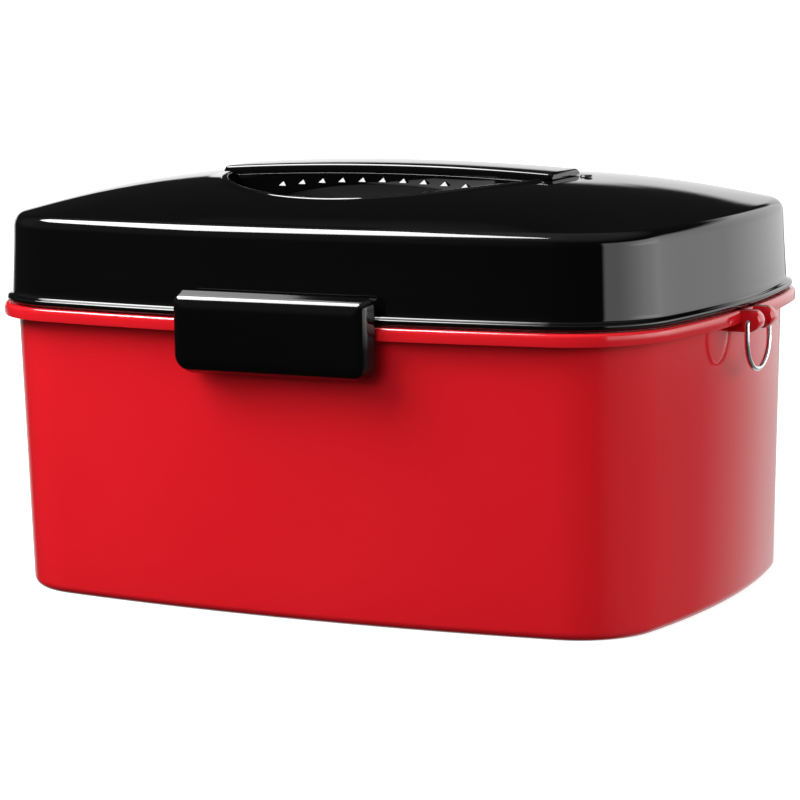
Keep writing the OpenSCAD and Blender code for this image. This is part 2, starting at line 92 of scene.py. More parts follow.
# ---- the box's bowed outline: four long arcs joined by four corner arcs ----
def bow_radius(half, bow):
    return (half * half + bow * bow) / (2 * bow)


FRONT_R = bow_radius(HALF_W, BOW_FRONT)
SIDE_R = bow_radius(HALF_D, BOW_SIDE)
FRONT_C = Vector((0, HALF_D - FRONT_R))
SIDE_C = Vector((HALF_W - SIDE_R, 0))


def corner_centre():
    """Centre of the (+X, +Y) corner arc, which touches both long arcs from inside."""
    gap = (SIDE_C - FRONT_C).length
    way = (SIDE_C - FRONT_C) / gap
    a, b = FRONT_R - CORNER_R, SIDE_R - CORNER_R
    along = (gap * gap + a * a - b * b) / (2 * gap)
    across = math.sqrt(a * a - along * along)
    return FRONT_C + along * way + across * Vector((way.y, -way.x))


CORNER_C = corner_centre()
FRONT_ANGLE = math.atan2(CORNER_C.y - FRONT_C.y, CORNER_C.x - FRONT_C.x)
SIDE_ANGLE = math.atan2(CORNER_C.y - SIDE_C.y, CORNER_C.x - SIDE_C.x)
N_SIDE, N_CORNER, N_FRONT = 16, 18, 26


def arc(centre, radius, start, end, steps, last=True):
    """Points on an arc, angles in radians."""
    count = steps + 1 if last else steps
    turns = [start + (end - start) * i / steps for i in range(count)]
    return [Vector((centre[0] + radius * math.cos(t), centre[1] + radius * math.sin(t)))
            for t in turns]


def arc_deg(centre, radius, start, end, steps):
    """The same as plain pairs of numbers, angles in degrees."""
    return [tuple(p) for p in arc(centre, radius, math.radians(start), math.radians(end), steps)]


def outline(off):
    """The outline moved out by off, anticlockwise from +X, as many points whatever off is."""
    quarter = arc(SIDE_C, SIDE_R + off, 0, SIDE_ANGLE, N_SIDE, last=False)
    quarter += arc(CORNER_C, CORNER_R + off, SIDE_ANGLE, FRONT_ANGLE, N_CORNER, last=False)
    quarter += arc(FRONT_C, FRONT_R + off, FRONT_ANGLE, math.pi / 2, N_FRONT)
    points = list(quarter)
    points += [Vector((-p.x, p.y)) for p in quarter[-2::-1]]
    points += [Vector((-p.x, -p.y)) for p in quarter[1:]]
    points += [Vector((p.x, -p.y)) for p in quarter[-2:0:-1]]
    return points


# ---- mesh helpers: every loop is a list of points in millimetres ----
def add_mesh(name, points, faces, body, slot, replaced=(), smooth=35):
    """A visible piece: it rides on a body, has a material slot and may replace CAD nodes."""
    mesh = bpy.data.meshes.new(name)
    mesh.from_pydata([Vector(p) * MM for p in points], [], faces)
    work = bmesh.new()
    work.from_mesh(mesh)
    bmesh.ops.remove_doubles(work, verts=work.verts, dist=1e-7)
    bmesh.ops.recalc_face_normals(work, faces=work.faces)
    work.to_mesh(mesh)
    work.free()
    mesh.shade_smooth()
    mesh.set_sharp_from_angle(angle=math.radians(smooth))
    piece = bpy.data.objects.new(name, mesh)
    bpy.context.scene.collection.objects.link(piece)
    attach(piece, body)
    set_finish(piece, slot)
    if replaced:
        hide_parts(*replaced)
    return piece


def bands(rows, n, closed_path=False):
    """Quads between neighbouring loops of n points."""
    pairs = [(k, k + 1) for k in range(rows - 1)]
    if closed_path:
        pairs.append((rows - 1, 0))
    return [(a * n + i, a * n + (i + 1) % n, b * n + (i + 1) % n, b * n + i)
            for a, b in pairs for i in range(n)]


def stack(loops, cap_first=True, cap_last=True):
    """Points and faces of a solid through loops of the same length, closed by flat caps."""
    n = len(loops[0])
    points = [p for loop in loops for p in loop]
    faces = bands(len(loops), n)
    if cap_first:
        faces.append(tuple(range(n)))
    if cap_last:
        faces.append(tuple((len(loops) - 1) * n + i for i in range(n)))
    return points, faces


def outline_loops(path):
    """A loop round the box for every (offset, z) of a path."""
    return [[(p.x, p.y, z) for p in outline(off)] for off, z in path]


def around(path, closed_path=False):
    """A wall that follows the bowed outline along a path. An open path is closed by flat floors."""
    loops = outline_loops(path)
    if not closed_path:
        return stack(loops)
    return [p for loop in loops for p in loop], bands(len(loops), len(loops[0]), closed_path=True)


def merged(*parts):
    """Several (points, faces) pairs as one."""
    points, faces = [], []
    for some_points, some_faces in parts:
        base = len(points)
        points += some_points
        faces += [tuple(base + i for i in face) for face in some_faces]
    return points, faces


def tube(centres, normals, binormal, radius, sides=16):
    """A round wire along centres, closed at both ends."""
    turns = [2 * math.pi * i / sides for i in range(sides)]
    loops = [[c + radius * (math.cos(t) * n + math.sin(t) * binormal) for t in turns]
             for c, n in zip(centres, normals)]
    return stack(loops)


def softened(start, end, soft, near):
    """Places along a block with rounded ends, each with the inset of the outline there."""
    return [(start, soft), (start + near, near), (start + soft, 0),
            (end - soft, 0), (end - near, near), (end, soft)]


def across_x(outline_at, x0, x1, soft=0.6):
    """A block along X between x0 and x1 with rounded ends; outline_at(inset) gives its (y, z) outline."""
    return stack([[(x, y, z) for y, z in outline_at(inset)]
                  for x, inset in softened(x0, x1, soft, 0.3 * soft)])


# ---- tub ----
WALL_TOP = RIM_TOP - RIM_H


def wall_off(z):
    """The tub wall's offset from the outline at height z: drafted in towards the base."""
    return -DRAFT + DRAFT * z / WALL_TOP


def base_corner(radius):
    """The arc from the base to the wall, about the centre of the outer fillet."""
    return arc_deg((wall_off(BASE_FILLET) - BASE_FILLET, BASE_FILLET), radius, -90, 0, 8)


def tub_path():
    """From the middle of the base's underside, up the wall, round the rolled rim and down inside."""
    wall = [(wall_off(z), z) for z in (20, 45, 70, 95, 112)]
    lip, under = RIM_OUT - TUB_T, RIM_TOP - TUB_T
    neck = [(0, WALL_TOP), (0.2, under - 0.5), (0.8, under)]
    behind = [(lip - 0.6, under), (lip, under - 0.6), (lip, WALL_TOP + 0.2), (lip + 0.2, WALL_TOP)]
    curl = [(RIM_OUT - 0.5, WALL_TOP), (RIM_OUT - 0.12, WALL_TOP + 0.15), (RIM_OUT, WALL_TOP + 0.6)]
    edge = arc_deg((RIM_OUT - RIM_EDGE, RIM_TOP - RIM_EDGE), RIM_EDGE, 0, 90, 7)
    inside = [(-TUB_T + 0.4, RIM_TOP), (-TUB_T, RIM_TOP - 0.4), (-TUB_T, WALL_TOP)]
    outer = base_corner(BASE_FILLET) + wall + neck + behind + curl + edge
    return outer + inside + base_corner(BASE_FILLET - TUB_T)[::-1]


def lug(side, sign):
    """One strap-ring lug: a rounded tongue out of the rim, with softened faces."""
    root = -LUG_X + HALF_W - 0.5

    def face(inset):
        r = LUG_R - inset
        return [(root, -r)] + arc_deg((0, 0), r, -90, 90, 14) + [(root, r)]

    return stack([[(side * (LUG_X + x), sign * y, LUG_Z + z) for x, z in face(inset)]
                  for y, inset in softened(LUG_IN, LUG_OUT, 0.7, 0.2)])


def tub_knuckle(inset):
    """Outline of a knuckle on the tub: a round eye with a flat-topped root in the wall."""
    r = KNUCKLE_R - inset
    top = HINGE_Z + 2.5 - inset
    rise = math.degrees(math.asin((top - HINGE_Z) / r))
    curl = arc_deg((HINGE_Y, HINGE_Z), r, -90, 180 - rise, 22)
    return [(HALF_D - 8, HINGE_Z - r)] + curl + [(HALF_D - 8, top)]


def lid_knuckle(inset):
    """Outline of a hinge arm on the lid: a round eye with an arm up to the lid's side."""
    curl = arc_deg((HINGE_Y, HINGE_Z), KNUCKLE_R - inset, 75, -195, 26)
    arm = [(HINGE_Y - 6 + inset, RIM_TOP + 3), (HALF_D - 1.4, RIM_TOP + 6), (HALF_D - 3, RIM_TOP + 10),
           (HALF_D + 0.6, RIM_TOP + 14 - inset), (HINGE_Y + 0.4, RIM_TOP + 6.5 - inset)]
    return curl + arm


def make_tub():
    parts = [around(tub_path())]
    parts += [lug(side, sign) for side in (-1, 1) for sign in (-1, 1)]
    for centre in (-HINGE_X, HINGE_X):
        for way in (-1, 1):
            middle = centre + way * (LID_KNUCKLE_W / 2 + KNUCKLE_GAP + TUB_KNUCKLE_W / 2)
            parts.append(across_x(tub_knuckle, middle - TUB_KNUCKLE_W / 2, middle + TUB_KNUCKLE_W / 2))
    add_mesh("tub_body", *merged(*parts), "tub", "red_enamel", ["tub_shell"])


def liner_off(z):
    """The same for the tub's lining."""
    return -LINER_INSET - DRAFT * (RIM_TOP - z) / (RIM_TOP - LINER_FLOOR)


def make_tub_liner():
    corner = (liner_off(LINER_FLOOR + LINER_FILLET) - LINER_FILLET, LINER_FLOOR + LINER_FILLET)
    outer = arc_deg(corner, LINER_FILLET, -90, 0, 8)
    inner = arc_deg(corner, LINER_FILLET - LINER_T, 0, -90, 8)
    skirt_out, skirt_low = -TUB_T - GAP, WALL_TOP + 1
    skirt_in = skirt_out - LINER_T
    skirt = [(-LINER_INSET, RIM_TOP), (skirt_in, RIM_TOP), (skirt_in, skirt_low), (skirt_out, skirt_low),
             (skirt_out, RIM_TOP)]
    flange = [(FLANGE_OUT, RIM_TOP), (FLANGE_OUT, FLANGE_TOP - 0.6), (FLANGE_OUT - 0.6, FLANGE_TOP)]
    mouth = arc_deg((-LINER_INSET - LINER_T + MOUTH_R, FLANGE_TOP - MOUTH_R), MOUTH_R, 90, 180, 6)
    add_mesh("tub_lining", *around(outer + skirt + flange + mouth + inner), "tub", "liner", ["tub_liner"])


# ---- lid ----
EDGE_OFF = SKIRT_OFF - SHOULDER_R + SHOULDER_R * math.cos(math.radians(SHOULDER_TURN))
EDGE_Z = SKIRT_TOP + SHOULDER_R * math.sin(math.radians(SHOULDER_TURN))
DISH_LIP, DISH_STEPS = 3.1, 22              # width of the flat lip around the dish, loops in the dish


def crown(x, y):
    """How far the top bulges, from 1 in the middle to 0 at the lid's edge."""
    return (1 - min(1, abs(x) / CROWN_A) ** 4) * (1 - min(1, abs(y) / CROWN_B) ** 3)


def crown_z(edge, s):
    """Height of the crowned top at share s of the way from the middle to the edge point."""
    return EDGE_Z + CROWN_H * (crown(s * edge.x, s * edge.y) - s**4 * crown(edge.x, edge.y))


def dish_z(r):
    """Height of the dish at radius r: half an ellipsoid."""
    return DISH_Z - DISH_DEPTH * math.sqrt(max(0, 1 - (r / DISH_R) ** 2))


def dish_edge(edge):
    """Radius at which the dish meets the crowned top in the direction of an edge point, by bisection."""
    low, high = DISH_R * 0.9, DISH_R
    for _ in range(30):
        r = (low + high) / 2
        if dish_z(r) < crown_z(edge, r / edge.length):
            low = r
        else:
            high = r
    return low


def skirt_loops():
    """From the lid's lower edge, over its outward lip and up the side to the end of the shoulder."""
    flare = [(2.9, 0), (3.6, 0.05), (4.2, 0.3), (4.6, 0.75), (4.85, 1.3), (4.9, 1.9), (4.86, 2.3),
             (4.68, 2.62), (4.3, 2.85), (3.7, 3.05), (3.1, 3.25), (2.75, 3.5), (2.5, 3.95), (2.38, 4.6),
             (2.3, 5.6), (2.2, 7.5), (1.8, 15), (1.3, 24)]      # offset, height over the lower edge
    shoulder = arc_deg((SKIRT_OFF - SHOULDER_R, SKIRT_TOP), SHOULDER_R, 0, SHOULDER_TURN, 12)
    return outline_loops([(off, LID_LOW + rise) for off, rise in flare] + shoulder)


def crown_loops(edges, rims):
    """The crowned top from the shoulder to the lip; rims are the dish's radii towards the edges."""
    loops = []
    for share in (0.012, 0.03, 0.055, 0.09, 0.14, 0.2, 0.28, 0.37, 0.47, 0.58, 0.7, 0.82, 0.92, 1):
        loop = []
        for edge, r in zip(edges, rims):
            s = 1 + ((r + DISH_LIP) / edge.length - 1) * share
            loop.append((s * edge.x, s * edge.y, crown_z(edge, s)))
        loops.append(loop)
    return loops


def lip_loops(edges, rims):
    """The flat lip around the dish."""
    profile = [(2.95, 0.12), (2.8, 0.3), (2.65, 0.44), (2.45, 0.53), (2.2, 0.57), (1.5, 0.57), (0.9, 0.57),
               (0.45, 0.56), (0.15, 0.48), (0, 0.3)]      # distance outside the dish, height over the top
    return [[(*(edge.normalized() * (r + out)), crown_z(edge, (r + DISH_LIP) / edge.length) + rise)
             for edge, r in zip(edges, rims)] for out, rise in profile]


def dish_loops(edges, rims):
    """The dish, from just under its lip nearly to its bottom."""
    loops = []
    for step in range(DISH_STEPS):
        loop = []
        for edge, r in zip(edges, rims):
            start = math.acos(min(1, r / DISH_R)) + 1 / DISH_DEPTH
            turn = start + (math.pi / 2 - start) * step / DISH_STEPS
            flat = edge.normalized() * DISH_R * math.cos(turn)
            loop.append((*flat, DISH_Z - DISH_DEPTH * math.sin(turn)))
        loops.append(loop)
    return loops


def lid_surface():
    """The lid's outer surface from its lower edge to the bottom of the dish."""
    edges = outline(EDGE_OFF)
    rims = [dish_edge(edge) for edge in edges]
    loops = skirt_loops() + crown_loops(edges, rims) + lip_loops(edges, rims) + dish_loops(edges, rims)
    n = len(edges)
    points = [p for loop in loops for p in loop] + [(0, 0, DISH_Z - DISH_DEPTH)]
    last = (len(loops) - 1) * n
    bottom = [(last + i, last + (i + 1) % n, len(points) - 1) for i in range(n)]
    return points, bands(len(loops), n) + bottom


LID_EARS, LID_EAR_W = (-34, 0, 34), 9


def ear(inset):
    """Outline of one of the lid's latch ears: a round eye with a root in the lid's front."""
    root = -HALF_D - 0.8
    curl = arc_deg((LATCH_Y, LATCH_Z), LATCH_KNUCKLE_R - 0.5 * inset, -90, -270, 14)
    return curl + [(root, LATCH_Z + 1.8), (root, LATCH_Z - 1.8)]


def make_lid():
    shell = add_mesh("lid_top", *lid_surface(), "lid", "black_gloss", ["lid_shell"], smooth=50)
    thick = shell.modifiers.new("wall", "SOLIDIFY")
    thick.thickness = SHELL_T * MM
    thick.offset = -1
    thick.use_even_offset = False
    ears = [across_x(ear, x - LID_EAR_W / 2, x + LID_EAR_W / 2, soft=0.5) for x in LID_EARS]
    arms = [across_x(lid_knuckle, x - LID_KNUCKLE_W / 2, x + LID_KNUCKLE_W / 2)
            for x in (-HINGE_X, HINGE_X)]
    add_mesh("lid_latch_ears", *merged(*ears), "lid", "black_gloss", smooth=40)
    add_mesh("lid_hinge_arms", *merged(*arms), "lid", "black_gloss", smooth=40)


PLATE_OUT, PLUG_OFF = -1.6, -15.5
PLATE_LOW = RIM_TOP + 5
PLATE_TOP = PLATE_LOW + LINER_T
PLUG_BOTTOM = FLANGE_TOP - PLUG_DROP
SEAL_MID, SEAL_R, SEAL_LIFT = -6, 2.4, 2.1  # offset, half width and height of the seal's round underside


def make_lid_liner():
    path = [(PLUG_OFF - 2, PLUG_BOTTOM), (PLUG_OFF - 0.6, PLUG_BOTTOM + 0.6), (PLUG_OFF, PLUG_BOTTOM + 2),
            (PLUG_OFF, PLATE_LOW), (PLATE_OUT - 0.4, PLATE_LOW), (PLATE_OUT, PLATE_LOW + 0.4),
            (PLATE_OUT, PLATE_TOP), (PLUG_OFF - LINER_T, PLATE_TOP),
            (PLUG_OFF - LINER_T, PLUG_BOTTOM + 2 + LINER_T),
            (PLUG_OFF - 2 - LINER_T, PLUG_BOTTOM + LINER_T)]
    add_mesh("lid_lining", *around(path), "lid", "liner", ["lid_liner"])


def make_gasket():
    lip = arc_deg((SEAL_MID, FLANGE_TOP + SEAL_LIFT), SEAL_R, -150, -30, 8)
    path = [(SEAL_MID + SEAL_R, PLATE_LOW), (SEAL_MID - SEAL_R, PLATE_LOW)]
    path += [(off, max(z, FLANGE_TOP + 0.3)) for off, z in lip]
    add_mesh("lid_seal", *around(path, closed_path=True), "lid", "seal", ["lid_gasket"])


# ---- carrying bar ----
def arch_point(x, y, h):
    """A point at height h over the arch line, at distance x along it."""
    turn = x / ARCH_R
    return ((ARCH_R + h) * math.sin(turn), y, HANDLE_TOP - ARCH_R + (ARCH_R + h) * math.cos(turn))


def cap_section(low, inset, on_lid):
    """Across the cap at one place along the bar, as (y, height): an open channel, or solid on the lid."""
    half, top = HALF_HANDLE - 0.4 * inset, -inset
    soft = min(CAP_ROUND, 0.9 * (top - low))
    left = arc_deg((-half + soft, top - soft), soft, 180, 90, 8)
    right = arc_deg((half - soft, top - soft), soft, 90, 0, 8)
    roof = low if on_lid else -CAP_T
    inside = [(half - CAP_T, low), (half - CAP_T, roof), (-half + CAP_T, roof), (-half + CAP_T, low)]
    return [(-half, low)] + left + right + [(half, low)] + inside


def make_bar_cap():
    """The glossy cap: a channel open below, with rounded top edges and ends."""
    half = HANDLE_L / 2
    # the rounded ends: distance from the end, inset
    tip = [(0, 2), (0.1, 1.38), (0.35, 0.87), (0.8, 0.4), (1.4, 0.1), (2, 0)]
    stations = [(-half + x, inset) for x, inset in tip]
    stations += [(-half + 3 + (HANDLE_L - 6) * i / 60, 0) for i in range(61)]
    stations += [(half - x, inset) for x, inset in tip[::-1]]
    loops = []
    for x, inset in stations:
        on_lid = abs(x) > DISH_R - 2.8
        low = max(-CAP_SKIRT, SEAT_Z - arch_point(x, 0, 0)[2]) if on_lid else -CAP_SKIRT
        loops.append([arch_point(x, y, h) for y, h in cap_section(low, inset, on_lid)])
    add_mesh("bar_cap", *stack(loops), "lid", "black_gloss", ["handle_cap"], smooth=38)


def pip_parts():
    """Triangular grip pips on both long faces, their fronts leaning back towards the peak."""
    faces = [(0, 1, 2), (3, 4, 5), (0, 1, 4, 3), (1, 2, 5, 4), (2, 0, 3, 5)]
    half = PIP_W / 2
    parts = []
    for sign in (-1, 1):
        for i in range(PIP_COUNT):
            x = (i - (PIP_COUNT - 1) / 2) * PIP_PITCH
            z = PIP_Z - x * x / (2 * PIP_ARCH)
            root, face = sign * (HALF_HANDLE - 0.3), sign * (HALF_HANDLE + PIP_OUT)
            tip = sign * (HALF_HANDLE + 0.25 * PIP_OUT)
            points = [(x - half, root, z), (x + half, root, z), (x, root, z + PIP_H),
                      (x - half * 0.9, face, z + 0.1), (x + half * 0.9, face, z + 0.1), (x, tip, z + PIP_H)]
            parts.append((points, faces))
    return parts


def make_bar_core():
    """The bar's body: flat faces, an arched underside and feet that follow the dish."""
    reach, soft, edge = 72.6, 1.0, 0.35         # half its length, radius below, bevel above
    near_side = (0, 0.12, 0.4, 1.0)             # places close to a long face
    across = [-HALF_HANDLE + d for d in near_side] + [-12 + 3 * i for i in range(9)]
    across += [HALF_HANDLE - d for d in near_side[::-1]]
    loops = []
    for i in range(121):
        x = -reach + 2 * reach * i / 120
        top = arch_point(x, 0, -CAP_SKIRT - GAP)[2]
        under = UNDER_TOP - UNDER_R + math.sqrt(UNDER_R**2 - x * x)
        loop = []
        for y in across:
            near = min(soft, HALF_HANDLE - abs(y))
            rise = soft - math.sqrt(soft**2 - (soft - near) ** 2)
            low = max(under, dish_z(math.hypot(x, y)) + 0.3) + rise
            loop.append((x, y, min(low, top - 0.4)))
        loop += [(x, HALF_HANDLE, top - edge), (x, HALF_HANDLE - edge, top),
                 (x, -HALF_HANDLE + edge, top), (x, -HALF_HANDLE, top - edge)]
        loops.append(loop)
    points, faces = merged(stack(loops), *pip_parts())
    add_mesh("bar_core", points, faces, "lid", "black_gloss", ["handle_core"], smooth=30)


# ---- latch ----
def pad(inset):
    """The latch's face as (x, z) points, drawn in by inset."""
    half = LATCH_W / 2 - inset
    low, top = max(1.5, LOW_CORNER - inset), max(1.2, TOP_CORNER - 0.7 * inset)
    z0, z1 = LATCH_BOTTOM + inset, LATCH_TOP - inset
    corners = [((half - low, z0 + low), low, -90, 0), ((half - top, z1 - top), top, 0, 90),
               ((-half + top, z1 - top), top, 90, 180), ((-half + low, z0 + low), low, 180, 270)]
    return [p for centre, r, a, b in corners for p in arc_deg(centre, r, a, b, 9)]


def pad_loops(profile):
    """A loop round the latch's face for every (depth behind its front, inset) of a profile."""
    return [[(x, -LATCH_FRONT + depth, z) for x, z in pad(inset)] for depth, inset in profile]


def make_latch_cover():
    """A glossy pad with a crowned front and long bevels, hollow behind."""
    depth = LATCH_FRONT + LATCH_BACK
    outer = pad_loops([
        (depth, 0.3), (depth - 0.1, 0.08), (depth - 0.35, 0), (depth - 0.7, 0.06), (depth - 1, 0.18),
        (5, 0.75), (3.6, 1.32), (2.4, 1.8), (2.1, 2), (1.75, 2.32), (1.4, 2.7), (1.1, 3.12), (0.75, 3.8),
        (0.4, 4.7), (0.15, 5.7), (0, 7)])
    inner = pad_loops([
        (LATCH_WALL, 6), (2.3, 4.2), (2.8, 3), (3.6, 2.4), (4.8, LATCH_WALL), (depth - 0.3, LATCH_WALL),
        (depth, 2.4)])
    n = len(outer[0])
    points, faces = merged(stack(outer, cap_first=False), stack(inner, cap_last=False))
    last = (len(outer) + len(inner) - 1) * n
    faces += [(i, (i + 1) % n, last + (i + 1) % n, last + i) for i in range(n)]
    add_mesh("latch_pad", points, faces, "latch", "black_gloss", ["latch_cover"], smooth=60)


# ---- strap rings ----
def make_ring(name, side):
    """A wire bent into a U, its ends turned in through the lugs."""
    bottom = RING_HALF - RING_DROP
    half = [(LUG_IN + 0.8, 0), (RING_HALF - WIRE_BEND - 2, 0)]
    half += arc_deg((RING_HALF - WIRE_BEND, -WIRE_BEND), WIRE_BEND, 90, 0, 6)
    half += [(RING_HALF, -5), (RING_HALF, 0.6 + bottom)] + arc_deg((0, bottom), RING_HALF, 0, -90, 20)
    whole = half + [(-y, z) for y, z in half[-2::-1]]
    centres = [Vector((side * LUG_X, y, LUG_Z + z)) for y, z in whole]
    normals = []
    for i, centre in enumerate(centres):
        way = (centres[min(i + 1, len(centres) - 1)] - centres[max(i - 1, 0)]).normalized()
        normals.append(way.cross(Vector((1, 0, 0))))
    wire = tube(centres, normals, Vector((1, 0, 0)), WIRE_R)
    add_mesh(name + "_wire", *wire, name, "ring_chrome", [name], smooth=40)


# ---- materials ----
def node_material(name):
    """A material with its Principled shader and an object-space coordinate."""
    material = bpy.data.materials.new(name)
    material.use_nodes = True
    tree = material.node_tree
    shader = tree.nodes["Principled BSDF"]
    place = tree.nodes.new("ShaderNodeTexCoord").outputs["Object"]
    return material, tree, shader, place


def noise(tree, place, scale, detail=3, roughness=0.5, stretch=(1, 1, 1)):
    mapping = tree.nodes.new("ShaderNodeMapping")
    mapping.inputs["Scale"].default_value = stretch
    tree.links.new(place, mapping.inputs["Vector"])
    texture = tree.nodes.new("ShaderNodeTexNoise")
    texture.inputs["Scale"].default_value = scale
    texture.inputs["Detail"].default_value = detail
    texture.inputs["Roughness"].default_value = roughness
    tree.links.new(mapping.outputs["Vector"], texture.inputs["Vector"])
    return texture.outputs["Fac"]


def ramp(tree, value, low, high, out_low, out_high):
    """A value mapped from one range to another, clamped."""
    node = tree.nodes.new("ShaderNodeMapRange")
    node.inputs["From Min"].default_value = low
    node.inputs["From Max"].default_value = high
    node.inputs["To Min"].default_value = out_low
    node.inputs["To Max"].default_value = out_high
    tree.links.new(value, node.inputs["Value"])
    return node.outputs["Result"]


def combine(tree, kind, a, b=0):
    """A math node on two sockets or numbers."""
    node = tree.nodes.new("ShaderNodeMath")
    node.operation = kind
    for socket, value in zip(node.inputs, (a, b)):
        if isinstance(value, (int, float)):
            socket.default_value = value
        else:
            tree.links.new(value, socket)
    return node.outputs[0]


def colour_mix(tree, factor, dark, light):
    node = tree.nodes.new("ShaderNodeMix")
    node.data_type = "RGBA"
    tree.links.new(factor, node.inputs["Factor"])
    node.inputs["A"].default_value = (*dark, 1)
    node.inputs["B"].default_value = (*light, 1)
    return node.outputs["Result"]


def bump(tree, shader, height, strength, distance):
    node = tree.nodes.new("ShaderNodeBump")
    node.inputs["Strength"].default_value = strength
    node.inputs["Distance"].default_value = distance
    tree.links.new(height, node.inputs["Height"])
    tree.links.new(node.outputs["Normal"], shader.inputs["Normal"])


def scratches(tree, place, scale):
    """Fine hairlines: thin bands of a stretched noise, broken up by a coarser one."""
    hair = noise(tree, place, scale, detail=2, stretch=(1, 0.06, 1))
    line = ramp(tree, combine(tree, "ABSOLUTE", combine(tree, "SUBTRACT", hair, 0.5)), 0, 0.004, 1, 0)
    patch = ramp(tree, noise(tree, place, scale * 0.15), 0.55, 0.7, 0, 1)
    return combine(tree, "MULTIPLY", line, patch)


def gloss_material(name, dark, light, rough, coat, peel):
    """Enamel or moulded gloss: colour drift, haze and hairlines in its roughness, orange peel."""
    material, tree, shader, place = node_material(name)
    drift = ramp(tree, noise(tree, place, 9, detail=4), 0.3, 0.7, 0, 1)
    tree.links.new(colour_mix(tree, drift, dark, light), shader.inputs["Base Color"])
    haze = ramp(tree, noise(tree, place, 12, detail=3), 0.35, 0.75, rough, rough * 1.35)
    lines = combine(tree, "MULTIPLY", scratches(tree, place, 300), 0.08)
    tree.links.new(combine(tree, "ADD", haze, lines), shader.inputs["Roughness"])
    shader.inputs["Coat Weight"].default_value = coat
    shader.inputs["Coat Roughness"].default_value = 0.03
    bump(tree, shader, noise(tree, place, 160, detail=2), peel, 0.0002)
    return material


def grained_material(name, dark, light, rough, grain_scale, depth):
    """Moulded satin plastic, foam or rubber: a fine grain in bump and roughness."""
    material, tree, shader, place = node_material(name)
    grain = noise(tree, place, grain_scale, detail=5, roughness=0.6)
    drift = ramp(tree, noise(tree, place, 14, detail=4), 0.3, 0.7, 0, 1)
    tree.links.new(colour_mix(tree, drift, dark, light), shader.inputs["Base Color"])
    haze = ramp(tree, grain, 0.3, 0.7, rough * 0.85, min(1, rough * 1.15))
    tree.links.new(haze, shader.inputs["Roughness"])
    bump(tree, shader, grain, depth, 0.0003)
    return material


def metal_material(name, dark, light, rough, brush, depth):
    """Steel or chrome: hairlines along X, slight tarnish."""
    material, tree, shader, place = node_material(name)
    shader.inputs["Metallic"].default_value = 1
    tarnish = ramp(tree, noise(tree, place, 60, detail=5), 0.35, 0.75, 0, 1)
    tree.links.new(colour_mix(tree, tarnish, light, dark), shader.inputs["Base Color"])
    lines = noise(tree, place, brush, detail=3, stretch=(0.05, 1, 1))
    tree.links.new(ramp(tree, lines, 0.3, 0.7, rough * 0.7, rough * 1.6), shader.inputs["Roughness"])
    bump(tree, shader, lines, depth, 0.0001)
    return material


def make_materials():
    """One material per slot, from its darker and lighter colour, its roughness and its surface relief."""
    gloss = {                                   # ..., coat weight, orange peel
        "red_enamel": ((0.71, 0.0105, 0.018), (0.74, 0.0125, 0.0205), 0.1, 0.25, 0.05),
        "black_gloss": ((0.0016, 0.0016, 0.0017), (0.0022, 0.0022, 0.0023), 0.045, 0.0, 0.03),
    }
    grained = {                                 # ..., grain scale, grain depth
        "black_satin": ((0.005, 0.005, 0.0055), (0.009, 0.009, 0.0095), 0.34, 900, 0.12),
        "liner": ((0.54, 0.54, 0.52), (0.62, 0.62, 0.6), 0.42, 700, 0.1),
        "foam": ((0.72, 0.62, 0.4), (0.82, 0.75, 0.55), 0.9, 350, 0.7),
        "seal": ((0.02, 0.02, 0.021), (0.035, 0.035, 0.036), 0.7, 500, 0.2),
    }
    metal = {                                   # ..., hairline scale, hairline depth
        "steel": ((0.42, 0.42, 0.44), (0.62, 0.62, 0.64), 0.28, 500, 0.15),
        "ring_chrome": ((0.68, 0.69, 0.72), (0.88, 0.89, 0.91), 0.16, 600, 0.04),
    }
    kinds = ((gloss, gloss_material), (grained, grained_material), (metal, metal_material))
    return {name: make(name, *look) for looks, make in kinds for name, look in looks.items()}


def dress(materials):
    """Every shown piece and CAD node gets its slot's material."""
    slots = {entry["node"]: entry["material_slot"] for entry in frame["record"]["subparts"]}
    for piece in bpy.data.objects:
        if piece.type != "MESH":
            continue
        name = piece.get("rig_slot") or slots[piece["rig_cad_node"]]
        piece.data.materials.clear()
        piece.data.materials.append(materials[name])


# ---- camera, floor and light: sizes in metres from here on ----
CAMERA_AIM = Vector((-1.31, 0, 77.31)) * MM
CAMERA_AZ, CAMERA_EL, CAMERA_ROLL = (math.radians(a) for a in (26.98, 8.71, -0.91))
CAMERA_FAR, CAMERA_LENS = 1389.3 * MM, 142.6
LIGHT_AIM = Vector((0, 0, 0.08))
FLOOR_HALF = 12


def direction(az, el):
    """Towards azimuth az, 0 in front and a quarter turn on the right, and elevation el."""
    return Vector((math.sin(az) * math.cos(el), -math.cos(az) * math.cos(el), math.sin(el)))


def make_camera():
    back = direction(CAMERA_AZ, CAMERA_EL)
    level = Vector((math.cos(CAMERA_AZ), math.sin(CAMERA_AZ), 0))
    upright = back.cross(level)
    right = level * math.cos(CAMERA_ROLL) + upright * math.sin(CAMERA_ROLL)
    up = back.cross(right)
    camera = bpy.data.objects.new("camera", bpy.data.cameras.new("camera"))
    bpy.context.scene.collection.objects.link(camera)
    turn = Matrix((right, up, back)).transposed()
    camera.matrix_world = Matrix.Translation(CAMERA_AIM + back * CAMERA_FAR) @ turn.to_4x4()
    camera.data.sensor_width = 36
    camera.data.lens = CAMERA_LENS
    camera.data.clip_end = 50
    bpy.context.scene.camera = camera


